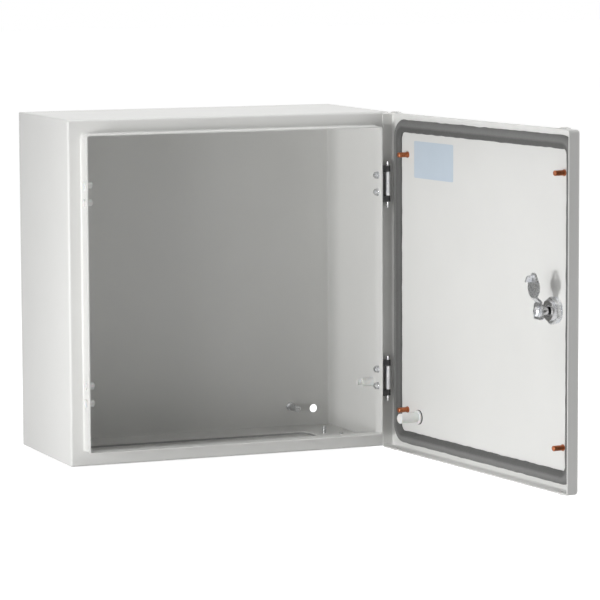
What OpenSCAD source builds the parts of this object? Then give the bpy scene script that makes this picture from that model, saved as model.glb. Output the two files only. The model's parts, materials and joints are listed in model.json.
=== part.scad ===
// Wall-mounted sheet-steel enclosure with a hinged door, shown with the door open.
// Millimetres, +Z up. The origin is the centre of the back face, which lies on the wall.
// The closed door faces -Y, and its hinges are on the +X side.

/* [Cabinet] */
// Width over the side walls
width = 400; // [300:10:600]
// Height over the top and bottom walls
height = 400; // [360:10:600]
// Depth from the wall to the face of the closed door
depth = 210; // [190:5:300]
// Thickness of the folded steel sheet
sheet = 1.5; // [1.2:0.1:1.8]
// Outer radius of the folded cabinet edges
edge_r = 3; // [2.5:0.5:5]
// Radius of the ground weld seams along the top and bottom side edges
seam_r = 1.5; // [1:0.5:2]

/* [Front collar] */
// Width of the front flange, from the side to the outer face of the collar
flange_w = 16.5; // [15.5:0.5:18]
// How far the collar stands out in front of the flange
collar_h = 19.5; // [17:0.5:21]
// Radius of the fold at the foot of the collar
collar_fold_r = 2; // [1:0.5:2.5]
// Corner radius of the collar, seen from the front
collar_corner_r = 4; // [3:0.5:8]

/* [Door] */
// Opening angle of the door
door_angle = 96.5; // [0:0.5:118]
// Depth of the folded door tray
door_depth = 15; // [14:0.5:19]
// Gap between the door's rim and the front flange when closed
door_gap = 11; // [10.5:0.5:12]
// How far the door stays inside the cabinet outline on every side
door_reveal = 0.5; // [0.5:0.5:1]
// Outer radius of the door's front edges
door_edge_r = 3.5; // [2.5:0.5:4]
// Distance from the door's side edges to the embossed bridges near its corners
bridge_inset = 20; // [20:1:40]

/* [Door gasket] */
// Width of the foamed gasket
gasket_w = 15.5; // [12:0.5:16]
// Distance from the door's edge to the outer side of the gasket
gasket_inset = 7.5; // [7:0.5:9]
// Corner radius on the middle line of the gasket
gasket_corner_r = 14; // [10:1:25]
// Space left between the gasket and the collar when the door is closed
gasket_clear = 0.3; // [0.3:0.1:0.6]

/* [Hinges] */
// Distance from the top and bottom of the cabinet to the middle of each hinge
hinge_inset = 84.5; // [84:0.5:110]
// Distance from the cabinet side to the hinge pin
pin_inset = 7.7; // [7.5:0.1:7.9]
// Distance from the front flange to the hinge pin
pin_out = 14; // [13:0.1:14.2]
// Radius of the hinge pin
pin_r = 2; // [1.5:0.1:2.2]
// Length of the barrel on the door
barrel_l = 28; // [26:1:36]
// Height of each lug on the cabinet side
lug_h = 7; // [5:0.5:9]
// Distance between the two screws of a hinge
hinge_screw_pitch = 20; // [18:1:22]
// Distance from the front flange to the hinge screws
hinge_screw_out = 9; // [8.5:0.5:9.5]

/* [Lock] */
// Distance from the free side of the cabinet to the lock
lock_inset = 46.5; // [46:0.5:60]
// Height of the lock above the middle of the door
lock_z = -1; // [-60:1:60]
// Radius of the threaded lock housing
housing_r = 11; // [10:0.5:12]
// Width across flats of the housing nut
nut_flats = 27; // [26:1:30]
// Reach of the cam from the lock axis to its tip
cam_reach = 43; // [40:1:44]
// Widest half-width of the cam's arm
cam_arm_r = 10.5; // [8:0.5:11]
// Turn of the cam from upright, towards the free side
cam_angle = 0; // [0:1:90]

/* [Wall holes and studs] */
// Distance from the edges of the back wall to the wall holes
wall_hole_inset = 22; // [18:1:40]
// Radius of the wall holes
wall_hole_r = 5; // [3.5:0.5:6]
// Distance from the sides to the mounting-plate studs
plate_stud_side = 53; // [40:1:80]
// Distance from the top and bottom to the mounting-plate studs
plate_stud_end = 26; // [22:1:80]
// Radius of the mounting-plate studs
plate_stud_r = 4; // [3:0.5:4]
// Length of the mounting-plate studs
plate_stud_l = 25; // [15:1:35]
// Distance from the door's hinge edge to the small door studs
door_stud_hinge = 36; // [29:0.5:40]
// Distance from the door's free edge to the small door studs
door_stud_free = 29.5; // [28.5:0.5:31]
// Distance from the door's top and bottom edges to the small door studs
door_stud_end = 48.5; // [30:0.5:70]
// Radius of the small door studs
door_stud_r = 3; // [2:0.5:3]
// Length of the small door studs
door_stud_l = 13.5; // [10:0.5:18]

/* [Earth studs] */
// Radius of the earth studs
earth_r = 4; // [3:0.5:4]
// Outer radius of the plastic caps on the earth studs
cap_r = 5.8; // [5.5:0.1:7]
// Length of the cap on the door's earth stud
door_cap_l = 27; // [20:1:34]
// Length of the cap on the cabinet's earth stud
body_cap_l = 20; // [15:1:30]

/* [Gland plate] */
// Distance from the sides to the cable opening in the floor
gland_side = 50; // [50:5:90]
// Depth of the cable opening in the floor
gland_d = 100; // [80:5:105]
// Corner radius of the cable opening
gland_r = 12; // [6:1:20]
// Thickness of the gland plate
gland_plate_t = 1.5; // [1.5:0.5:2.5]
// Thickness of the gland plate's gasket
gland_gasket_t = 2; // [1:0.5:3]

/* [Label] */
// Width of the bare label inside the door
label_w = 87; // [60:1:100]
// Height of the bare label inside the door
label_h = 43; // [30:1:50]
// Distance from the hinge side to the label
label_side = 51.5; // [40:0.5:70]
// Distance from the top of the cabinet to the label
label_top = 32; // [31.5:0.5:60]

/* [Hidden] */
$fn = 48;

paint = [0.84, 0.85, 0.84];
zinc = [0.75, 0.76, 0.78];
dark_zinc = [0.16, 0.16, 0.17];
foam = [0.42, 0.42, 0.41];
copper = [0.72, 0.36, 0.18];
white_plastic = [0.90, 0.90, 0.88];
black_rubber = [0.08, 0.08, 0.08];
label_blue = [0.72, 0.80, 0.87];

eps = 0.01;

// Cabinet
body_d = depth - door_gap - door_depth;
front_y = -body_d;
inner_r = edge_r - sheet;
floor_z = -height / 2;
collar_w = width - 2 * flange_w;
collar_tall = height - 2 * flange_w;
seam_over = 5;
seam_reach = 60;
seam_back_y = -edge_r - 2;
wall_hole_dx = width - 2 * wall_hole_inset;
wall_hole_dz = height - 2 * wall_hole_inset;
plate_stud_dx = width - 2 * plate_stud_side;
plate_stud_dz = height - 2 * plate_stud_end;

// Door
door_w = width - 2 * door_reveal;
door_h = height - 2 * door_reveal;
door_stud_xs = [door_w / 2 - door_stud_hinge, door_stud_free - door_w / 2];
door_stud_dz = door_h - 2 * door_stud_end;
skin_y = -depth + sheet;
door_corner_r = door_edge_r + 0.5;
gasket_h = door_gap + door_depth - sheet - collar_h - gasket_clear;
bridge_rise = 2;
bridge_w = 20;
bridge_d = 6;
bridge_wall = 1.1;

// Hinge
pin_x = width / 2 - pin_inset;
pin_y = front_y - pin_out;
hinge_z = height / 2 - hinge_inset;
hinge_heights = [hinge_z, -hinge_z];
screw_y = front_y - hinge_screw_out;
screw_offsets = [hinge_screw_pitch / 2, -hinge_screw_pitch / 2];
bracket_t = 2;
lug_r = pin_r + 1.2;
arm_top = 2.2;
end_play = 0.25;
lug_z = barrel_l / 2 + end_play;
bracket_l = 2 * (lug_z + lug_h);
barrel_r = pin_r + 1;
running = 0.05;
barrel_hole_r = 0.9;
barrel_hole_turn = 150;
hinge_bolt_r = 2.5;
hinge_hole_r = hinge_bolt_r + 0.1;
hinge_head_r = 4;
hinge_washer_r = 4.4;
hinge_nut_flats = 7;
hinge_nut_t = 3;

// Lock
lock_x = -width / 2 + lock_inset;
bezel_r = housing_r + 4;
bezel_t = 3;
seal_t = 1;
lock_washer_t = 1;
nut_t = 6;
housing_in = 10;
spindle_r = housing_r - 4.2;
spindle_recess = 6;
spindle_stem_r = 4.2;
cam_t = 2.5;
cam_pivot_y = front_y - 4;
cam_arm_y = front_y + sheet + 1;
cam_pivot = [17, 18];
cam_tip_r = 3.5;
cam_arm_low = cam_pivot.y / 2 + 6.5 + cam_arm_r;
cam_taper = cam_reach - cam_tip_r - cam_arm_low;
cam_lip = 5.5;
cam_lip_t = 1.5;
cam_lip_inset = 0.2;
cam_square = 7;
cam_screw_r = 2.5;
cam_washer_r = 6.4;
cam_washer_t = 1.2;

// Gland plate
gland_w = width - 2 * gland_side;
gland_front = 38;
gland_y = front_y + gland_d / 2 + gland_front;
gland_margin = [22, 10];
gland_screw_r = 2.5;
gland_screw_out = 14;
gland_screw_dx = gland_w + 2 * gland_screw_out;
gland_screw_dy = 0.54 * gland_d;
gland_hole_r = gland_screw_r + 0.3;
gland_plate_z = floor_z - gland_gasket_t - gland_plate_t;
gland_head_h = gland_screw_r;
gland_tip_h = 10;

// Earth studs
body_earth_in = 47;
body_earth_up = 71.5;
body_earth_y = front_y + body_earth_in;
body_earth_z = floor_z + body_earth_up;
door_earth_in = 62;
door_earth_up = 43;
door_earth_x = width / 2 - door_earth_in;
door_earth_z = floor_z + door_earth_up;
body_stud_l = 12;
door_stud_gap = 6;
cap_tip_r = 3.2;
cap_tip_l = 6;
earth_washer_r = cap_r + 2.7;
earth_washer_t = 1;
weld_flange = 0.7;
weld_flange_t = 1;

// Rectangle with rounded corners, centred on the origin.
module rounded_rect(w, h, r) {
    square([w - 2 * r, h], center = true);
    square([w, h - 2 * r], center = true);
    for (x = [-1, 1], y = [-1, 1]) {
        translate([x * (w / 2 - r), y * (h / 2 - r)])
            circle(r);
    }
}

// Box behind Y = 0 with its own radius in plan, in side view and in front view.
module rounded_box(w, d, h, r_plan, r_side, r_front) {
    translate([0, -d / 2, 0])
        intersection() {
            linear_extrude(h, center = true)
                rounded_rect(w, d, r_plan);
            rotate([90, 0, 90])
                linear_extrude(w, center = true)
                    rounded_rect(d, h, r_side);
            rotate([90, 0, 0])
                linear_extrude(d, center = true)
                    rounded_rect(w, h, r_front);
        }
}

// Sweeps a profile around a rounded rectangle in the XY plane. The profile's x is the
// distance outwards from the rectangle, and its y is the height above the plane.
module ring_sweep(w, h, r) {
    for (k = [0 : 3]) {
        across = k % 2 == 0 ? w : h;
        along = k % 2 == 0 ? h : w;
        rotate([0, 0, 90 * k]) {
            translate([across / 2, 0, 0])
                rotate([90, 0, 0])
                    linear_extrude(along - 2 * r, center = true)
                        children();
            translate([across / 2 - r, along / 2 - r, 0])
                rotate_extrude(angle = 90)
                    translate([r, 0])
                        children();
        }
    }
}

// Two circles on a line, joined by their outer tangents.
module tapered_slot(r_low, r_high, distance) {
    tilt = asin((r_low - r_high) / distance);
    low = r_low * [cos(tilt), sin(tilt)];
    high = [0, distance] + r_high * [cos(tilt), sin(tilt)];
    circle(r_low);
    translate([0, distance])
        circle(r_high);
    polygon([low, high, [-high.x, high.y], [-low.x, low.y]]);
}

// Places children at the four corners of an upright rectangle in the XZ plane.
module at_corners(dx, dz) {
    for (x = [-1, 1], z = [-1, 1]) {
        translate([x * dx / 2, 0, z * dz / 2])
            children();
    }
}

// Cylinder along Y, from y_from to y_to.
module y_rod(r, y_from, y_to) {
    translate([0, y_to, 0])
        rotate([90, 0, 0])
            cylinder(r = r, h = y_to - y_from);
}

// Cylinder along X, from x_from to x_to.
module x_rod(r, x_from, x_to) {
    translate([x_from, 0, 0])
        rotate([0, 90, 0])
            cylinder(r = r, h = x_to - x_from);
}

// Hexagonal nut or bolt head along +Y, chamfered on both faces and standing on a corner.
module y_hexagon(flats, thick) {
    corner = flats / sqrt(3);
    chamfer = 0.05 * flats;
    rotate([-90, 0, 0])
        intersection() {
            rotate([0, 0, 30])
                cylinder(r = corner, h = thick, $fn = 6);
            union() {
                cylinder(r1 = corner - chamfer / 2, r2 = corner + chamfer / 2, h = thick / 2);
                translate([0, 0, thick / 2])
                    cylinder(r1 = corner + chamfer / 2, r2 = corner - chamfer / 2, h = thick / 2);
            }
        }
}

// Moves children from the closed door to the open one.
module on_door() {
    translate([pin_x, pin_y, 0])
        rotate([0, 0, door_angle])
            translate([-pin_x, -pin_y, 0])
                children();
}

// Moves children from the upright cam to the turned one.
module on_lock() {
    translate([lock_x, 0, lock_z])
        rotate([0, -cam_angle, 0])
            children();
}

// Whole welded cabinet before it is divided along its seams.
module cabinet_shell() {
    difference() {
        rounded_box(width, body_d, height, edge_r, edge_r, seam_r);
        translate([0, -sheet, 0])
            rounded_box(width - 2 * sheet, body_d - 2 * sheet, height - 2 * sheet, inner_r, inner_r, 0.3);
        translate([0, front_y, 0])
            rotate([90, 0, 0])
                linear_extrude(3 * sheet, center = true)
                    rounded_rect(
                        collar_w + 2 * collar_fold_r,
                        collar_tall + 2 * collar_fold_r,
                        collar_corner_r + collar_fold_r
                    );
    }
    translate([0, front_y, 0])
        rotate([90, 0, 0])
            ring_sweep(collar_w, collar_tall, collar_corner_r)
                collar_profile();
}

// Section of the collar: the fold at its foot and the upright sheet.
module collar_profile() {
    translate([-sheet, collar_fold_r])
        square([sheet, collar_h - collar_fold_r]);
    translate([collar_fold_r, collar_fold_r])
        intersection() {
            difference() {
                circle(collar_fold_r + sheet);
                circle(collar_fold_r);
            }
            translate([-2 * collar_fold_r - sheet, -2 * collar_fold_r - sheet])
                square(2 * collar_fold_r + sheet);
        }
}

// Front view of the top wall's region, bounded by the mitred seams at its side edges.
module top_outline() {
    polygon([
        [-width / 2 - seam_over, height / 2 + seam_over],
        [-width / 2 + seam_reach, height / 2 - seam_reach],
        [width / 2 - seam_reach, height / 2 - seam_reach],
        [width / 2 + seam_over, height / 2 + seam_over]
    ]);
}

// Front view of everything outside the top wall's region.
module around_top_outline() {
    polygon([
        [-width / 2 - seam_over, height / 2 + seam_over],
        [-width / 2 + seam_reach, height / 2 - seam_reach],
        [width / 2 - seam_reach, height / 2 - seam_reach],
        [width / 2 + seam_over, height / 2 + seam_over],
        [width, height / 2 + seam_over],
        [width, -height],
        [-width, -height],
        [-width, height / 2 + seam_over]
    ]);
}

// Room of the top wall in front of the back tray.
module top_region() {
    translate([0, seam_back_y, 0])
        rotate([90, 0, 0])
            linear_extrude(depth)
                top_outline();
}

// Folded top wall with its part of the flange and collar.
module upper_wall() {
    difference() {
        cabinet_shell();
        rotate([90, 0, 0])
            linear_extrude(3 * depth, center = true)
                around_top_outline();
        translate([-width, seam_back_y, 0])
            cube([2 * width, depth, height]);
    }
}

module body_wrap() {
    color(paint)
        difference() {
            cabinet_shell();
            top_region();
            mirror([0, 0, 1])
                top_region();
            at_corners(wall_hole_dx, wall_hole_dz)
                y_rod(wall_hole_r, -2 * sheet, sheet);
            for (side = [-1, 1], z = hinge_heights, dz = screw_offsets) {
                translate([side * (collar_w / 2 - sheet / 2), screw_y, z + dz])
                    x_rod(hinge_hole_r, -2 * sheet, 2 * sheet);
            }
        }
}

module top_panel() {
    color(paint)
        upper_wall();
}

module bottom_panel() {
    color(paint)
        difference() {
            mirror([0, 0, 1])
                upper_wall();
            translate([0, gland_y, floor_z])
                linear_extrude(3 * sheet, center = true)
                    rounded_rect(gland_w, gland_d, gland_r);
            gland_screw_holes(gland_screw_r + 0.1);
        }
}

module at_gland_screws() {
    for (x = [-1, 1], y = [-1, 1]) {
        translate([x * gland_screw_dx / 2, gland_y + y * gland_screw_dy / 2, 0])
            children();
    }
}

module gland_outline() {
    rounded_rect(gland_w + 2 * gland_margin.x, gland_d + 2 * gland_margin.y, 6);
}

// Holes for the gland plate's screws, from below the plate to above the floor.
module gland_screw_holes(r) {
    at_gland_screws()
        translate([0, 0, gland_plate_z - sheet])
            cylinder(r = r, h = floor_z - gland_plate_z + 3 * sheet);
}

module gland_plate() {
    color(paint)
        difference() {
            translate([0, gland_y, gland_plate_z])
                linear_extrude(gland_plate_t)
                    gland_outline();
            gland_screw_holes(gland_hole_r);
        }
}

module gland_plate_gasket() {
    color(foam)
        difference() {
            translate([0, gland_y, floor_z - gland_gasket_t])
                linear_extrude(gland_gasket_t)
                    difference() {
                        gland_outline();
                        rounded_rect(gland_w, gland_d, gland_r);
                    }
            gland_screw_holes(gland_hole_r);
        }
}

// Screws from below, with a cross recess in each pan head.
module gland_plate_screws() {
    head_r = 1.8 * gland_screw_r;
    color(zinc)
        at_gland_screws()
            translate([0, 0, gland_plate_z - gland_head_h])
                difference() {
                    union() {
                        cylinder(r1 = 0.9 * head_r, r2 = head_r, h = gland_head_h);
                        translate([0, 0, gland_head_h / 2])
                            cylinder(r = gland_screw_r, h = floor_z + gland_tip_h - gland_plate_z + gland_head_h / 2);
                    }
                    for (turn = [0, 90]) {
                        rotate([0, 0, turn])
                            cube([head_r, head_r / 5, gland_head_h], center = true);
                    }
                }
}

// Four weld studs on the back wall for a mounting plate.
module mounting_plate_studs() {
    color(zinc)
        at_corners(plate_stud_dx, plate_stud_dz)
            translate([0, -sheet, 0]) {
                y_rod(plate_stud_r + 1.5, -1.2, 0);
                y_rod(plate_stud_r, -plate_stud_l, 0);
            }
}

// Threaded weld stud along +Z with a flat weld flange.
module weld_stud(r, length) {
    tip = 0.8;
    cylinder(r = r + weld_flange, h = weld_flange_t);
    cylinder(r = r, h = length - tip);
    translate([0, 0, length - tip])
        cylinder(r1 = r, r2 = r - tip, h = tip);
}

// Room inside a cap for the earth stud and its weld flange.
module stud_room(r, length) {
    translate([0, 0, -eps])
        cylinder(r = r + weld_flange + 0.1, h = weld_flange_t + 0.1 + eps);
    cylinder(r = r + 0.1, h = length + 0.3);
}

module at_body_earth() {
    translate([width / 2 - sheet, body_earth_y, body_earth_z])
        rotate([0, -90, 0])
            children();
}

module body_earth_stud() {
    color(zinc)
        at_body_earth()
            weld_stud(earth_r, body_stud_l);
}

// Plastic cap with a thinner closed tip.
module body_earth_cap() {
    color(white_plastic)
        at_body_earth()
            difference() {
                union() {
                    cylinder(r = cap_r, h = 1.2);
                    cylinder(r = cap_r - 0.6, h = body_cap_l - cap_tip_l);
                    cylinder(r = cap_tip_r, h = body_cap_l);
                }
                stud_room(earth_r, body_stud_l);
            }
}

// Push-in plugs that close the unused hinge holes on the free side.
module collar_plugs() {
    color(white_plastic)
        for (z = hinge_heights, dz = screw_offsets) {
            translate([-collar_w / 2, screw_y, z + dz]) {
                x_rod(4.6, -1.5, 0);
                x_rod(hinge_bolt_r, -0.5, sheet + 8);
                x_rod(hinge_bolt_r + 1.4, sheet + 0.1, sheet + 7);
            }
        }
}

// Cone of a flush screw head that ends level with the plate, so that the opened door's rim clears it.
module countersink(clearance) {
    head_l = hinge_head_r - hinge_bolt_r;
    translate([bracket_t - head_l, 0, 0])
        rotate([0, 90, 0])
            cylinder(r1 = hinge_bolt_r + clearance, r2 = hinge_head_r + clearance, h = head_l);
}

// Cabinet half of a hinge: a plate on the collar with two lugs that hold the pin.
module hinge_bracket(z) {
    plate_x = collar_w / 2;
    color(dark_zinc)
        translate([0, 0, z])
            difference() {
                union() {
                    translate([plate_x, front_y - collar_h + 1, -bracket_l / 2])
                        cube([bracket_t, collar_h - collar_fold_r - 1.5, bracket_l]);
                    for (up = [0, 1]) {
                        mirror([0, 0, up])
                            translate([0, 0, lug_z])
                                lug(plate_x);
                    }
                }
                translate([pin_x, pin_y, -bracket_l])
                    cylinder(r = pin_r + 0.01, h = 2 * bracket_l);
                for (dz = screw_offsets) {
                    translate([plate_x, screw_y, dz]) {
                        x_rod(hinge_hole_r, -1, bracket_t + 1);
                        countersink(hinge_hole_r - hinge_bolt_r);
                    }
                }
            }
}

module lug(plate_x) {
    linear_extrude(lug_h) {
        translate([pin_x, pin_y])
            circle(lug_r);
        translate([plate_x + eps, pin_y - lug_r])
            square([pin_x - plate_x, lug_r + arm_top]);
    }
}

module hinge_bracket_upper() hinge_bracket(hinge_z);
module hinge_bracket_lower() hinge_bracket(-hinge_z);

// Hinge pin with a rounded top and a tapered lower end.
module hinge_pin(z) {
    top = bracket_l / 2 + 4;
    taper = 4;
    bottom = -bracket_l / 2 - 3;
    color(zinc)
        translate([pin_x, pin_y, z]) {
            translate([0, 0, bottom])
                cylinder(r = pin_r, h = top - bottom);
            translate([0, 0, bottom - taper])
                cylinder(r1 = pin_r * 0.55, r2 = pin_r, h = taper);
            translate([0, 0, top])
                cylinder(r1 = pin_r, r2 = pin_r * 0.6, h = 1);
        }
}

module hinge_pin_upper() hinge_pin(hinge_z);
module hinge_pin_lower() hinge_pin(-hinge_z);

module at_hinge_screws() {
    for (z = hinge_heights, dz = screw_offsets) {
        translate([collar_w / 2, screw_y, z + dz])
            children();
    }
}

module hinge_screws() {
    color(zinc)
        at_hinge_screws() {
            x_rod(hinge_bolt_r, -sheet - 5.2, bracket_t);
            countersink(0);
        }
}

module hinge_washers() {
    color(zinc)
        at_hinge_screws()
            difference() {
                x_rod(hinge_washer_r, -sheet - 1, -sheet);
                x_rod(hinge_hole_r, -sheet - 2, 1);
            }
}

module hinge_nuts() {
    color(zinc)
        at_hinge_screws()
            difference() {
                translate([-sheet - 1, 0, 0])
                    rotate([0, 0, 90])
                        y_hexagon(hinge_nut_flats, hinge_nut_t);
                x_rod(hinge_bolt_r + 0.02, -sheet - 6, 1);
            }
}

// Section of the door's rim: the fold at the front edge and the flange behind it.
module door_rim_profile() {
    translate([-sheet, door_edge_r])
        square([sheet, door_depth - door_edge_r]);
    translate([-door_edge_r, door_edge_r])
        intersection() {
            difference() {
                circle(door_edge_r);
                circle(door_edge_r - sheet);
            }
            translate([0, -2 * door_edge_r])
                square(2 * door_edge_r);
        }
}

// Low arch on the rim. Its radius follows from its rise and its width.
module bridge_arch(drop, y_from, y_to) {
    radius = (bridge_w * bridge_w / 4 + bridge_rise * bridge_rise) / (2 * bridge_rise);
    intersection() {
        translate([0, 0, bridge_rise - drop - radius])
            y_rod(radius, y_from, y_to);
        translate([-bridge_w / 2, y_from, -2 * sheet])
            cube([bridge_w, y_to - y_from, 2 * sheet + bridge_rise]);
    }
}

module at_bridges() {
    for (x = [-1, 1], up = [0, 1]) {
        mirror([0, 0, up])
            translate([x * (door_w / 2 - bridge_inset), -depth + door_edge_r + 1, door_h / 2])
                children();
    }
}

module door_panel() {
    color(paint)
        on_door()
            difference() {
                union() {
                    translate([0, -depth, 0])
                        rotate([-90, 0, 0]) {
                            linear_extrude(sheet)
                                rounded_rect(
                                    door_w - 2 * door_edge_r,
                                    door_h - 2 * door_edge_r,
                                    door_corner_r - door_edge_r
                                );
                            ring_sweep(door_w, door_h, door_corner_r)
                                door_rim_profile();
                        }
                    at_bridges()
                        intersection() {
                            bridge_arch(0, 0, bridge_d);
                            translate([-bridge_w / 2, 0, -sheet / 2])
                                cube([bridge_w, bridge_d, sheet / 2 + bridge_rise]);
                        }
                }
                at_bridges()
                    bridge_arch(bridge_wall, bridge_wall, bridge_d - bridge_wall);
                translate([lock_x, 0, lock_z])
                    y_rod(housing_r + 0.1, -depth - 1, -depth + 3 * sheet);
            }
}

// Section of the foamed gasket: a low bead with a rounded crown.
module gasket_profile() {
    crown = min(3, 0.6 * gasket_h);
    crown_r = (gasket_w * gasket_w / 4 + crown * crown) / (2 * crown);
    intersection() {
        translate([-gasket_w / 2, 0])
            square([gasket_w, gasket_h]);
        translate([0, gasket_h - crown_r])
            circle(crown_r, $fn = 96);
    }
}

module door_gasket() {
    middle = gasket_inset + gasket_w / 2;
    color(foam)
        on_door()
            translate([0, skin_y, 0])
                rotate([-90, 0, 0])
                    ring_sweep(door_w - 2 * middle, door_h - 2 * middle, gasket_corner_r)
                        gasket_profile();
}

module door_studs() {
    color(copper)
        on_door()
            for (x = door_stud_xs, z = [-1, 1]) {
                translate([x, skin_y, z * door_stud_dz / 2])
                    rotate([-90, 0, 0])
                        weld_stud(door_stud_r, door_stud_l);
            }
}

// Bare label, with nothing written on it.
module door_label() {
    color(label_blue)
        on_door()
            translate([width / 2 - label_side - label_w / 2, skin_y, height / 2 - label_top - label_h / 2])
                rotate([-90, 0, 0])
                    linear_extrude(0.25)
                        rounded_rect(label_w, label_h, 2);
}

module at_door_earth() {
    on_door()
        translate([door_earth_x, skin_y, door_earth_z])
            rotate([-90, 0, 0])
                children();
}

module door_earth_stud() {
    color(zinc)
        at_door_earth()
            weld_stud(earth_r, door_cap_l - door_stud_gap);
}

// Plastic cap with a flat rim that rests on the washer.
module door_earth_cap() {
    color(white_plastic)
        at_door_earth()
            difference() {
                union() {
                    translate([0, 0, earth_washer_t])
                        cylinder(r = cap_r + 2.2, h = 1.6);
                    translate([0, 0, earth_washer_t])
                        cylinder(r = cap_r, h = door_cap_l - earth_washer_t - 1);
                    translate([0, 0, door_cap_l - 1])
                        cylinder(r1 = cap_r, r2 = cap_r - 1, h = 1);
                }
                stud_room(earth_r, door_cap_l - door_stud_gap);
            }
}

// Dark washer between the cap and the door.
module door_earth_washer() {
    color(black_rubber)
        at_door_earth()
            difference() {
                cylinder(r = earth_washer_r, h = earth_washer_t);
                translate([0, 0, -eps])
                    cylinder(r = earth_r + weld_flange + 0.1, h = earth_washer_t + 2 * eps);
            }
}

// Door half of a hinge: a barrel on the pin and an arm welded inside the door's rim.
module hinge_barrel(z) {
    rim_x = door_w / 2 - sheet;
    arm_t = 2;
    color(zinc)
        on_door()
            difference() {
                translate([0, 0, z - barrel_l / 2])
                    linear_extrude(barrel_l)
                        difference() {
                            union() {
                                translate([pin_x, pin_y])
                                    circle(barrel_r);
                                translate([pin_x, pin_y - barrel_r])
                                    square([rim_x - pin_x, arm_t]);
                            }
                            translate([pin_x, pin_y])
                                circle(pin_r + running);
                        }
                translate([pin_x, pin_y, z])
                    rotate([0, 0, barrel_hole_turn])
                        x_rod(barrel_hole_r, pin_r / 2, barrel_r + 1);
            }
}

module hinge_barrel_upper() hinge_barrel(hinge_z);
module hinge_barrel_lower() hinge_barrel(-hinge_z);

module at_lock() {
    on_door()
        translate([lock_x, 0, lock_z])
            children();
}

// Threaded housing with its round bezel on the outside of the door.
module lock_housing() {
    bezel_y = -depth - seal_t;
    color(zinc)
        at_lock()
            difference() {
                union() {
                    y_rod(bezel_r - 0.8, bezel_y - bezel_t, bezel_y);
                    y_rod(bezel_r, bezel_y - bezel_t + 0.8, bezel_y);
                    y_rod(housing_r, bezel_y - eps, skin_y + housing_in);
                }
                y_rod(spindle_r + running, bezel_y - bezel_t - 1, skin_y + housing_in + 1);
            }
}

module lock_seal() {
    color(black_rubber)
        at_lock()
            difference() {
                y_rod(bezel_r - 1, -depth - seal_t, -depth);
                y_rod(housing_r + 0.05, -depth - seal_t - 1, -depth + 1);
            }
}

module lock_washer() {
    color(zinc)
        at_lock()
            difference() {
                y_rod(housing_r + 4, skin_y, skin_y + lock_washer_t);
                y_rod(housing_r + 0.1, skin_y - 1, skin_y + lock_washer_t + 1);
            }
}

module lock_nut() {
    color(zinc)
        at_lock()
            difference() {
                translate([0, skin_y + lock_washer_t, 0])
                    y_hexagon(nut_flats, nut_t);
                y_rod(housing_r + 0.02, skin_y, skin_y + lock_washer_t + nut_t + 1);
            }
}

// Turning insert: a double-bit key socket in front, a stem and a square for the cam behind.
module lock_spindle() {
    face_y = -depth - seal_t - bezel_t + 0.8;
    shoulder_y = skin_y + housing_in - spindle_recess;
    socket_r = spindle_r - 1.8;
    color(dark_zinc)
        on_door()
            on_lock()
                difference() {
                    union() {
                        difference() {
                            y_rod(spindle_r, face_y, shoulder_y);
                            y_rod(socket_r, face_y - 1, face_y + 7);
                        }
                        y_rod(1.9, face_y + 0.6, face_y + 8);
                        translate([0, face_y + 4.3, 0])
                            cube([2 * socket_r - 1.4, 7.4, 1.8], center = true);
                        y_rod(spindle_stem_r, shoulder_y - eps, cam_pivot_y);
                        translate([-cam_square / 2, cam_pivot_y - eps, -cam_square / 2])
                            cube([cam_square, cam_t, cam_square]);
                    }
                    y_rod(cam_screw_r, cam_pivot_y - 9, cam_pivot_y + 2 * cam_t);
                }
}

// Outline of the cam, seen from the front and with the lock axis at the origin.
module cam_outline() {
    rounded_rect(cam_pivot.x, cam_pivot.y, 3);
    translate([-cam_arm_r / 2, 0])
        square([cam_arm_r, cam_arm_low]);
    translate([0, cam_arm_low])
        tapered_slot(cam_arm_r, cam_tip_r, cam_taper);
}

// Outline of the lip along the arm's tapered edge on the hinge side.
module cam_lip_outline() {
    tilt = asin((cam_arm_r - cam_tip_r) / cam_taper);
    translate([cam_arm_r * cos(tilt), cam_arm_low + cam_arm_r * sin(tilt)])
        rotate(tilt)
            translate([-cam_lip_t - cam_lip_inset, cam_lip_t])
                square([cam_lip_t, cam_taper * cos(tilt) - 2 * cam_lip_t]);
}

// Side view of the cam: the cranked sheet, with x along Y and y along Z.
module cam_side() {
    low = cam_pivot.y / 2 + 1.5;
    high = low + 5.5;
    polygon([
        [cam_pivot_y, -cam_pivot.y],
        [cam_pivot_y + cam_t, -cam_pivot.y],
        [cam_pivot_y + cam_t, low - 0.5],
        [cam_arm_y + cam_t, high - 0.5],
        [cam_arm_y + cam_t, 2 * cam_reach],
        [cam_arm_y, 2 * cam_reach],
        [cam_arm_y, high + 0.5],
        [cam_pivot_y, low + 0.5]
    ]);
}

module lock_cam() {
    hole_z = cam_reach - 8;
    hole_r = 2.2;
    color(zinc)
        on_door()
            on_lock()
                difference() {
                    union() {
                        intersection() {
                            rotate([90, 0, 0])
                                linear_extrude(4 * depth, center = true)
                                    cam_outline();
                            rotate([90, 0, 90])
                                linear_extrude(4 * cam_arm_r, center = true)
                                    cam_side();
                        }
                        translate([0, cam_arm_y + cam_t + cam_lip, 0])
                            rotate([90, 0, 0])
                                linear_extrude(cam_t + cam_lip)
                                    cam_lip_outline();
                    }
                    cube([cam_square + 0.1, 4 * depth, cam_square + 0.1], center = true);
                    translate([0, 0, hole_z])
                        y_rod(hole_r, -depth, 0);
                }
}

module cam_washer() {
    color(zinc)
        on_door()
            on_lock()
                difference() {
                    y_rod(cam_washer_r, cam_pivot_y + cam_t, cam_pivot_y + cam_t + cam_washer_t);
                    y_rod(cam_screw_r + 0.2, cam_pivot_y, cam_pivot_y + 2 * cam_t + cam_washer_t);
                }
}

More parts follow.
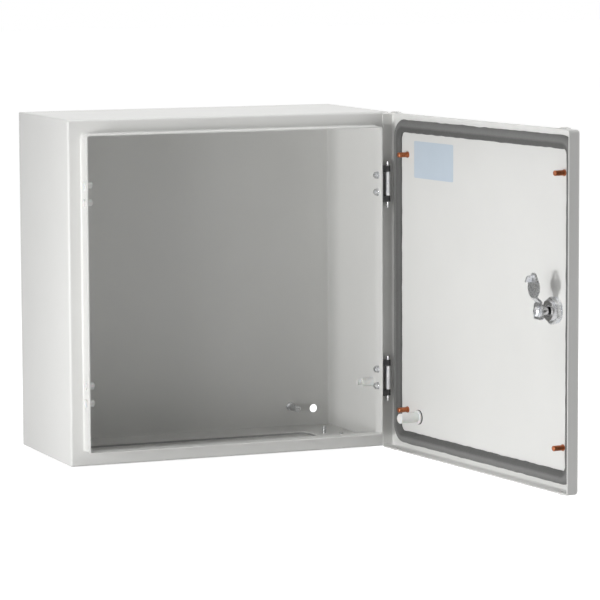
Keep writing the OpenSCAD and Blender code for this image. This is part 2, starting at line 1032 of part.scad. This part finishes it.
// Screw with a round domed head and a hexagon socket.
module cam_screw() {
    seat_y = cam_pivot_y + cam_t + cam_washer_t;
    head_r = cam_washer_r - 0.9;
    head_h = 3;
    socket_flats = 4;
    color(zinc)
        on_door()
            on_lock() {
                y_rod(cam_screw_r - 0.02, cam_pivot_y - 8, seat_y + eps);
                translate([0, seat_y, 0])
                    rotate([-90, 0, 0])
                        difference() {
                            union() {
                                cylinder(r = head_r, h = head_h / 2);
                                translate([0, 0, head_h / 2])
                                    cylinder(r1 = head_r, r2 = 0.6 * head_r, h = head_h / 2);
                            }
                            translate([0, 0, head_h / 2])
                                cylinder(r = socket_flats / sqrt(3), h = head_h, $fn = 6);
                        }
            }
}

body_wrap();
top_panel();
bottom_panel();
mounting_plate_studs();
gland_plate();
gland_plate_gasket();
gland_plate_screws();
body_earth_stud();
body_earth_cap();
collar_plugs();
hinge_bracket_upper();
hinge_bracket_lower();
hinge_pin_upper();
hinge_pin_lower();
hinge_screws();
hinge_washers();
hinge_nuts();
door_panel();
door_gasket();
door_studs();
door_label();
door_earth_stud();
door_earth_cap();
door_earth_washer();
hinge_barrel_upper();
hinge_barrel_lower();
lock_housing();
lock_seal();
lock_washer();
lock_nut();
lock_spindle();
lock_cam();
cam_washer();
cam_screw();
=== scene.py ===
"""Steel wall enclosure: finishes, gasket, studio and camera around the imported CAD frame."""

import json
from math import cos, pi, radians, sin

import bpy
from mathutils import Euler, Matrix, Vector, noise


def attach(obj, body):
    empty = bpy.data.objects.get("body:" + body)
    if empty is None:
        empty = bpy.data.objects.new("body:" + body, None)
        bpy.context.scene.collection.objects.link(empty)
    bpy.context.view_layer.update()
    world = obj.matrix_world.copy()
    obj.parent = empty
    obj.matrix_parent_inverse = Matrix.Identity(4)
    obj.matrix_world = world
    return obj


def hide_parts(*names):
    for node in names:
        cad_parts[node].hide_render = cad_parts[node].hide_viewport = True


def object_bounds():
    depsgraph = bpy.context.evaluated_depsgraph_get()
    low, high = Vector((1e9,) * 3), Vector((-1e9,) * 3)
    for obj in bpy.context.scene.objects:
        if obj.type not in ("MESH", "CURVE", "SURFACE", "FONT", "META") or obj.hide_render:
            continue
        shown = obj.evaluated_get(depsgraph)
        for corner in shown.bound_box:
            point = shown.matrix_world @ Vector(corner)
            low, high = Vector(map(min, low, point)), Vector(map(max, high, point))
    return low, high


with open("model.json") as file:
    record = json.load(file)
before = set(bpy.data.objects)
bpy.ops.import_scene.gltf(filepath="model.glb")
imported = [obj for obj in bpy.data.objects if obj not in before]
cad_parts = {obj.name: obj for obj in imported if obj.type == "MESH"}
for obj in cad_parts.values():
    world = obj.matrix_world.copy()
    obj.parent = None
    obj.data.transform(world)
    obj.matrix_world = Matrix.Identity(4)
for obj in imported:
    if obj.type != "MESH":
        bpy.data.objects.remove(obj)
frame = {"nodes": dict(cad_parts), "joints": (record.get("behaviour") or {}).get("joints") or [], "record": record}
nodes = frame["nodes"]
cad_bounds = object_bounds()
mm = 0.001

# ---------------------------------------------------------------- places taken from the frame
# The door's joint gives the turn that takes a closed door to its place at rest.
door_joint = next(j for j in frame["joints"] if j["name"] == "door_hinge")
PIN = Vector(door_joint["pos_m"])
OPEN_ANGLE = radians(-door_joint["range_deg"][0])
OPEN = Matrix.Translation(PIN) @ Matrix.Rotation(OPEN_ANGLE, 4, "Z") @ Matrix.Translation(-PIN)


# ---------------------------------------------------------------- small helpers for materials
class Shader:
    """A node tree with one Principled shader and short names for the nodes it needs."""

    def __init__(self, name, color, roughness, metallic=0.0):
        self.material = bpy.data.materials.new(name)
        self.material.use_nodes = True
        self.tree = self.material.node_tree
        self.shader = self.tree.nodes["Principled BSDF"]
        self.shader.inputs["Base Color"].default_value = (*color, 1)
        self.shader.inputs["Roughness"].default_value = roughness
        self.shader.inputs["Metallic"].default_value = metallic
        self.position = self.node("ShaderNodeTexCoord").outputs["Object"]
        self.normal = None

    def node(self, kind, **settings):
        made = self.tree.nodes.new(kind)
        for key, value in settings.items():
            setattr(made, key, value)
        return made

    def link(self, source, target):
        self.tree.links.new(source, target)

    def turned(self, angle):
        """Position, turned about Z."""
        made = self.node("ShaderNodeMapping")
        made.inputs["Rotation"].default_value = (0, 0, angle)
        self.link(self.position, made.inputs["Vector"])
        return made.outputs["Vector"]

    def noise(self, size, detail=2.0):
        """Noise from 0 to 1 whose features are about that size in metres."""
        made = self.node("ShaderNodeTexNoise")
        made.inputs["Scale"].default_value = 1 / size
        made.inputs["Detail"].default_value = detail
        self.link(self.position, made.inputs["Vector"])
        return made.outputs["Fac"]

    def spread(self, value, low, high, start=0.3, end=0.7):
        """Maps start..end to low..high, and holds it there outside."""
        made = self.node("ShaderNodeMapRange")
        made.inputs["From Min"].default_value = start
        made.inputs["From Max"].default_value = end
        made.inputs["To Min"].default_value = low
        made.inputs["To Max"].default_value = high
        self.link(value, made.inputs["Value"])
        return made.outputs["Result"]

    def ramp(self, value, dark, light):
        """Colour from dark to light as value goes from 0.3 to 0.7."""
        made = self.node("ShaderNodeValToRGB")
        made.color_ramp.elements[0].position = 0.3
        made.color_ramp.elements[0].color = (*dark, 1)
        made.color_ramp.elements[1].position = 0.7
        made.color_ramp.elements[1].color = (*light, 1)
        self.link(value, made.inputs["Fac"])
        return made.outputs["Color"]

    def bump(self, height, depth):
        """Adds a layer of relief, depth in metres for heights from 0 to 1."""
        made = self.node("ShaderNodeBump")
        made.inputs["Distance"].default_value = depth
        self.link(height, made.inputs["Height"])
        if self.normal is not None:
            self.link(self.normal, made.inputs["Normal"])
        self.normal = made.outputs["Normal"]
        self.link(self.normal, self.shader.inputs["Normal"])

    def soft_edges(self, radius):
        """Rounds the shading of sharp edges by that radius in metres."""
        made = self.node("ShaderNodeBevel", samples=4)
        made.inputs["Radius"].default_value = radius
        self.normal = made.outputs["Normal"]
        self.link(self.normal, self.shader.inputs["Normal"])

    def color(self, output):
        self.link(output, self.shader.inputs["Base Color"])

    def roughness(self, output):
        self.link(output, self.shader.inputs["Roughness"])


def shade(color, factor):
    return tuple(min(1.0, c * factor) for c in color)


# ---------------------------------------------------------------- materials
PAINT = (0.70, 0.70, 0.685)
THREAD_PITCH = 0.9 * mm
WAVE_BANDS = 20


def powder_coat(name):
    """Light grey powder coat: fine orange peel over slightly wavy sheet."""
    s = Shader(name, PAINT, 0.42)
    s.soft_edges(0.5 * mm)
    cloud = s.noise(0.09, detail=3)
    grain = s.noise(0.5 * mm, detail=1)
    s.color(s.ramp(cloud, shade(PAINT, 0.985), shade(PAINT, 1.015)))
    s.roughness(s.spread(grain, 0.38, 0.48))
    s.bump(s.noise(2.2 * mm, detail=3), 0.02 * mm)
    s.bump(grain, 0.006 * mm)
    s.bump(s.noise(0.12, detail=0), 0.25 * mm)
    return s.material


def zinc_plate(name, rough=0.26, metallic=1.0, light=1.15):
    """Zinc plate with faint cloudy passivation."""
    s = Shader(name, shade((0.54, 0.55, 0.57), light), rough, metallic=metallic)
    s.soft_edges(0.1 * mm)
    cloud = s.noise(6 * mm, detail=4)
    s.color(s.ramp(cloud, shade((0.48, 0.49, 0.51), light), shade((0.60, 0.60, 0.60), light)))
    s.roughness(s.spread(s.noise(1.5 * mm, detail=4), rough - 0.05, rough + 0.06))
    s.bump(s.noise(0.8 * mm, detail=2), 0.0015 * mm)
    return s.material


def black_zinc(name):
    """Black passivated steel with lighter worn patches."""
    s = Shader(name, (0.035, 0.035, 0.037), 0.45, metallic=0.3)
    s.soft_edges(0.3 * mm)
    s.color(s.ramp(s.noise(3 * mm, detail=4), (0.02, 0.02, 0.021), (0.06, 0.06, 0.062)))
    s.roughness(s.spread(s.noise(1 * mm, detail=3), 0.35, 0.55))
    s.bump(s.noise(0.5 * mm, detail=3), 0.02 * mm)
    return s.material


def satin_cast(name):
    """Die-cast zinc with a satin nickel finish."""
    s = Shader(name, (0.6, 0.6, 0.6), 0.18, metallic=1.0)
    s.soft_edges(0.12 * mm)
    s.color(s.ramp(s.noise(4 * mm, detail=3), (0.56, 0.56, 0.57), (0.64, 0.635, 0.63)))
    s.roughness(s.spread(s.noise(0.9 * mm, detail=3), 0.15, 0.22))
    s.bump(s.noise(0.6 * mm, detail=2), 0.002 * mm)
    return s.material


def copper_plate(name):
    """Copper-plated steel stud with darker patches."""
    s = Shader(name, (0.42, 0.14, 0.055), 0.4, metallic=0.85)
    s.soft_edges(0.2 * mm)
    s.color(s.ramp(s.noise(2 * mm, detail=4), (0.27, 0.08, 0.03), (0.46, 0.16, 0.07)))
    s.roughness(s.spread(s.noise(0.8 * mm, detail=3), 0.3, 0.5))
    turns = s.node("ShaderNodeTexWave", bands_direction="X")
    turns.inputs["Scale"].default_value = 1 / (WAVE_BANDS * THREAD_PITCH)
    s.link(s.turned(pi / 2 - OPEN_ANGLE), turns.inputs["Vector"])
    s.bump(turns.outputs["Fac"], 0.2 * mm)
    return s.material


def pale_plastic(name):
    """Moulded off-white plastic."""
    s = Shader(name, (0.78, 0.78, 0.76), 0.38)
    s.soft_edges(0.3 * mm)
    s.shader.inputs["Subsurface Weight"].default_value = 0.15
    s.shader.inputs["Subsurface Scale"].default_value = 1.5 * mm
    s.color(s.ramp(s.noise(8 * mm, detail=2), (0.74, 0.74, 0.72), (0.81, 0.81, 0.795)))
    s.roughness(s.spread(s.noise(1.2 * mm, detail=2), 0.32, 0.45))
    s.bump(s.noise(0.6 * mm, detail=2), 0.003 * mm)
    return s.material


def seal_foam(name):
    """Grey poured foam with painted shade on the inner half of the bead, for the shade on its inner flank: a matt
    skin with small pores.
    """
    s = Shader(name, (0.13, 0.13, 0.128), 0.7)
    pores = s.node("ShaderNodeTexVoronoi", feature="F1")
    pores.inputs["Scale"].default_value = 1 / (1.1 * mm)
    s.link(s.position, pores.inputs["Vector"])
    across = s.node("ShaderNodeAttribute", attribute_name="across").outputs["Fac"]
    # Painted shade: the inner half of the bead is coloured darker than the outer half, standing in for the shade
    # on its inner flank.
    painted_shade_share = s.spread(across, 0.3, 0.7, start=0.36, end=0.56)
    s.color(s.ramp(painted_shade_share, (0.085, 0.085, 0.083), (0.17, 0.17, 0.167)))
    s.roughness(s.spread(s.noise(2 * mm), 0.6, 0.78))
    s.bump(s.noise(9 * mm, detail=2), 0.4 * mm)
    s.bump(pores.outputs["Distance"], 0.08 * mm)
    return s.material


def sheet_foam(name):
    """Light grey cut foam sheet."""
    s = Shader(name, (0.36, 0.36, 0.355), 0.7)
    s.color(s.ramp(s.noise(6 * mm, detail=3), (0.33, 0.33, 0.325), (0.39, 0.39, 0.385)))
    s.roughness(s.spread(s.noise(1 * mm, detail=2), 0.6, 0.8))
    s.bump(s.noise(0.8 * mm, detail=2), 0.02 * mm)
    return s.material


def black_rubber(name):
    """Matt black rubber."""
    s = Shader(name, (0.02, 0.02, 0.02), 0.6)
    s.color(s.ramp(s.noise(5 * mm, detail=3), (0.014, 0.014, 0.014), (0.03, 0.03, 0.029)))
    s.roughness(s.spread(s.noise(1 * mm, detail=2), 0.5, 0.7))
    s.bump(s.noise(0.4 * mm, detail=2), 0.02 * mm)
    return s.material


def label_film(name):
    """Plain pale blue film."""
    s = Shader(name, (0.51, 0.585, 0.66), 0.32)
    s.color(s.ramp(s.noise(30 * mm, detail=2), (0.50, 0.575, 0.65), (0.52, 0.595, 0.67)))
    s.roughness(s.spread(s.noise(1.5 * mm, detail=2), 0.28, 0.38))
    s.bump(s.noise(12 * mm, detail=1), 0.05 * mm)
    return s.material


FINISHES = {
    "painted_steel": powder_coat("painted_steel"),
    "zinc_steel": zinc_plate("zinc_steel"),
    "black_steel": black_zinc("black_steel"),
    "zinc_cast": satin_cast("zinc_cast"),
    "copper_steel": copper_plate("copper_steel"),
    "pale_plastic": pale_plastic("pale_plastic"),
    "seal_foam": seal_foam("seal_foam"),
    "seal_rubber": black_rubber("seal_rubber"),
    "label_film": label_film("label_film"),
}
OWN_FINISH = {
    "hinge_barrel_upper": zinc_plate("barrel_zinc", rough=0.5, metallic=0.35, light=1.35),
    "gland_plate_gasket": sheet_foam("sheet_foam"),
}
OWN_FINISH["hinge_barrel_lower"] = OWN_FINISH["hinge_barrel_upper"]

# Every CAD piece keeps its mesh and gets the finish of its slot, or its own.
for subpart in frame["record"]["subparts"]:
    piece = nodes[subpart["node"]]
    piece.data.materials.clear()
    finish = OWN_FINISH.get(subpart["node"], FINISHES[subpart["material_slot"]])
    piece.data.materials.append(finish)


# ---------------------------------------------------------------- poured gasket
CORNER_STEPS = 12
HALF_STEPS = 10
STRAIGHT_STEP = 4 * mm
# Wander of the bead's line in metres, and of its width and height as shares of the full size.
LINE_WANDER = 0.5 * mm
WIDTH_MEAN, WIDTH_WANDER = 0.97, 0.07
HEIGHT_MEAN, HEIGHT_WANDER = 0.97, 0.03


def closed_points(node):
    """A door node's vertices in the frame of the closed door."""
    back = OPEN.inverted()
    return [back @ (node.matrix_world @ v.co) for v in node.data.vertices]


def poured_gasket(cad):
    """The foamed bead as poured: a round crown whose width, height and line wander a little."""
    # The size and line of the CAD bead, read in the frame of the closed door
    points = closed_points(cad)
    base, top = min(p.y for p in points), max(p.y for p in points)
    out_x, out_z = max(p.x for p in points), max(p.z for p in points)
    straight = min(abs(p.z) for p in points)
    in_x = min(abs(p.x) for p in points if abs(p.z) < straight + 0.1 * mm)
    half = (out_x - in_x) / 2
    mid_x, mid_z = out_x - half, out_z - half
    radius = mid_z - straight

    # Centre line, with the outward direction at each of its points
    line = []
    corners = [(1, 1), (-1, 1), (-1, -1), (1, -1)]
    for index, (sx, sz) in enumerate(corners):
        centre = Vector((sx * (mid_x - radius), 0, sz * (mid_z - radius)))
        start = index * pi / 2
        for step in range(CORNER_STEPS + 1):
            angle = start + step / CORNER_STEPS * pi / 2
            out = Vector((cos(angle), 0, sin(angle)))
            line.append((centre + radius * out, out))
        next_sx, next_sz = corners[(index + 1) % 4]
        end = Vector((next_sx * (mid_x - radius), 0, next_sz * (mid_z - radius)))
        end = end + radius * out
        begin = line[-1][0]
        count = int((end - begin).length / STRAIGHT_STEP)
        line.extend((begin.lerp(end, k / count), out) for k in range(1, count))

    # Cross-section from the inner edge (-1) to the outer edge (1), at every point of the line
    steps = range(-HALF_STEPS, HALF_STEPS + 1)
    across = [sin(pi / 2 * k / HALF_STEPS) for k in steps]
    verts, faces, shares = [], [], []
    for place, out in line:
        drift = LINE_WANDER * noise.noise(place * 60 + Vector((3, 0, 0)))
        swell = WIDTH_WANDER * noise.noise(place * 90 + Vector((0, 9, 0)))
        wide = half * (WIDTH_MEAN + swell)
        rise = HEIGHT_WANDER * noise.noise(place * 30 + Vector((0, 0, 5)))
        tall = (top - base) * (HEIGHT_MEAN + rise)
        for t in across:
            height = tall * max(0.0, 1 - abs(t) ** 2.4) ** 0.48
            spot = place + out * (drift + t * wide)
            verts.append(OPEN @ Vector((spot.x, base + height, spot.z)))
            shares.append((t + 1) / 2)
    width, rings = len(across), len(line)
    for i in range(rings):
        for j in range(width - 1):
            a = i * width + j
            b = ((i + 1) % rings) * width + j
            faces.append((a, a + 1, b + 1, b))
        a, b = i * width, ((i + 1) % rings) * width
        faces.append((a + width - 1, a, b, b + width - 1))
    mesh = bpy.data.meshes.new("poured_gasket")
    mesh.from_pydata(verts, [], faces)
    mesh.update()
    # The share across the bead lets the foam's finish paint shade on the inner half of the bead.
    mesh.attributes.new("across", "FLOAT", "POINT").data.foreach_set("value", shares)
    piece = bpy.data.objects.new("poured_gasket", mesh)
    bpy.context.scene.collection.objects.link(piece)
    for polygon in mesh.polygons:
        polygon.use_smooth = len(polygon.vertices) == 4 and polygon.index % width != width - 1
    return piece


gasket = poured_gasket(nodes["door_gasket"])
gasket.data.materials.append(FINISHES["seal_foam"])
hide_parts("door_gasket")
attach(gasket, "door")


# ---------------------------------------------------------------- studio
def area_lamp(name, place, target, width, height, power, spread=180):
    """Rectangular lamp that looks at target, with its power in watts and its spread in degrees."""
    data = bpy.data.lights.new(name, "AREA")
    data.shape = "RECTANGLE"
    data.size = width
    data.size_y = height
    data.energy = power
    data.spread = radians(spread)
    lamp = bpy.data.objects.new(name, data)
    lamp.location = place
    lamp.rotation_euler = (Vector(target) - Vector(place)).to_track_quat("-Z", "Y").to_euler()
    lamp.visible_camera = False
    bpy.context.scene.collection.objects.link(lamp)


def camera_sees(tree, seen, otherwise):
    """Strength that camera, mirror and glass rays see, and the one that lights the object."""
    path = tree.nodes.new("ShaderNodeLightPath")
    rays = path.outputs["Is Camera Ray"]
    for kind in ("Is Glossy Ray", "Is Transmission Ray"):
        either = tree.nodes.new("ShaderNodeMath")
        either.operation = "MAXIMUM"
        tree.links.new(rays, either.inputs[0])
        tree.links.new(path.outputs[kind], either.inputs[1])
        rays = either.outputs[0]
    pick = tree.nodes.new("ShaderNodeMapRange")
    pick.inputs["To Min"].default_value = otherwise
    pick.inputs["To Max"].default_value = seen
    tree.links.new(rays, pick.inputs["Value"])
    return pick.outputs["Result"]


# Strength of the world's light on the object, and of the floor's glow that only the camera sees
AMBIENT = 0.07
FLOOR_GLOW = 0.89
FLOOR_GAP = 0.2 * mm

world = bpy.data.worlds.new("studio")
world.use_nodes = True
bpy.context.scene.world = world
background = world.node_tree.nodes["Background"]
background.inputs["Color"].default_value = (1, 1, 1, 1)
world.node_tree.links.new(
    camera_sees(world.node_tree, 1.0, AMBIENT), background.inputs["Strength"]
)

# A narrow key lamp level with the door and to its left, a softer one beside it, and fill lamps
middle = Vector((0.0, -0.2, 0.0))
area_lamp("key_lamp", (-1.15, -0.70, -0.10), (-0.18, -0.44, -0.10), 0.15, 0.45, 5.5)
area_lamp("door_lamp", (-1.15, -0.70, -0.10), (0.25, -0.45, 0.0), 0.15, 0.45, 1.5, spread=70)
area_lamp("front_left_lamp", (-1.7, -1.5, -0.1), middle, 0.6, 0.5, 9.8)
area_lamp("top_lamp", (0.0, -0.2, 1.6), middle, 1.2, 1.2, 20)
area_lamp("right_lamp", (1.8, -1.2, 0.6), middle, 1.0, 1.0, 11)

bpy.ops.mesh.primitive_plane_add(size=30, location=(0, 0, cad_bounds[0][2] - FLOOR_GAP))
floor = bpy.context.object
floor.name = "studio_floor"
floor_shader = Shader("studio_floor", (0.8, 0.8, 0.8), 0.9)
floor_cloud = floor_shader.noise(0.4)
floor_shader.color(floor_shader.ramp(floor_cloud, (0.79, 0.79, 0.79), (0.81, 0.81, 0.81)))
floor_shader.shader.inputs["Emission Color"].default_value = (1, 1, 1, 1)
floor_shader.link(
    camera_sees(floor_shader.tree, FLOOR_GLOW, 0.0),
    floor_shader.shader.inputs["Emission Strength"],
)
floor.data.materials.append(floor_shader.material)

# ---------------------------------------------------------------- camera
camera_data = bpy.data.cameras.new("camera")
camera_data.sensor_width = 36.0
camera_data.lens = 199.1
camera_data.clip_end = 100.0
camera = bpy.data.objects.new("camera", camera_data)
camera.location = (-1.3868, -3.7749, 0.4222)
camera.rotation_euler = Euler((radians(83.50895), radians(0.22487), radians(-22.32058)))
bpy.context.scene.collection.objects.link(camera)
bpy.context.scene.camera = camera

view = bpy.context.scene.view_settings
view.view_transform = "Standard"

bpy.context.view_layer.update()
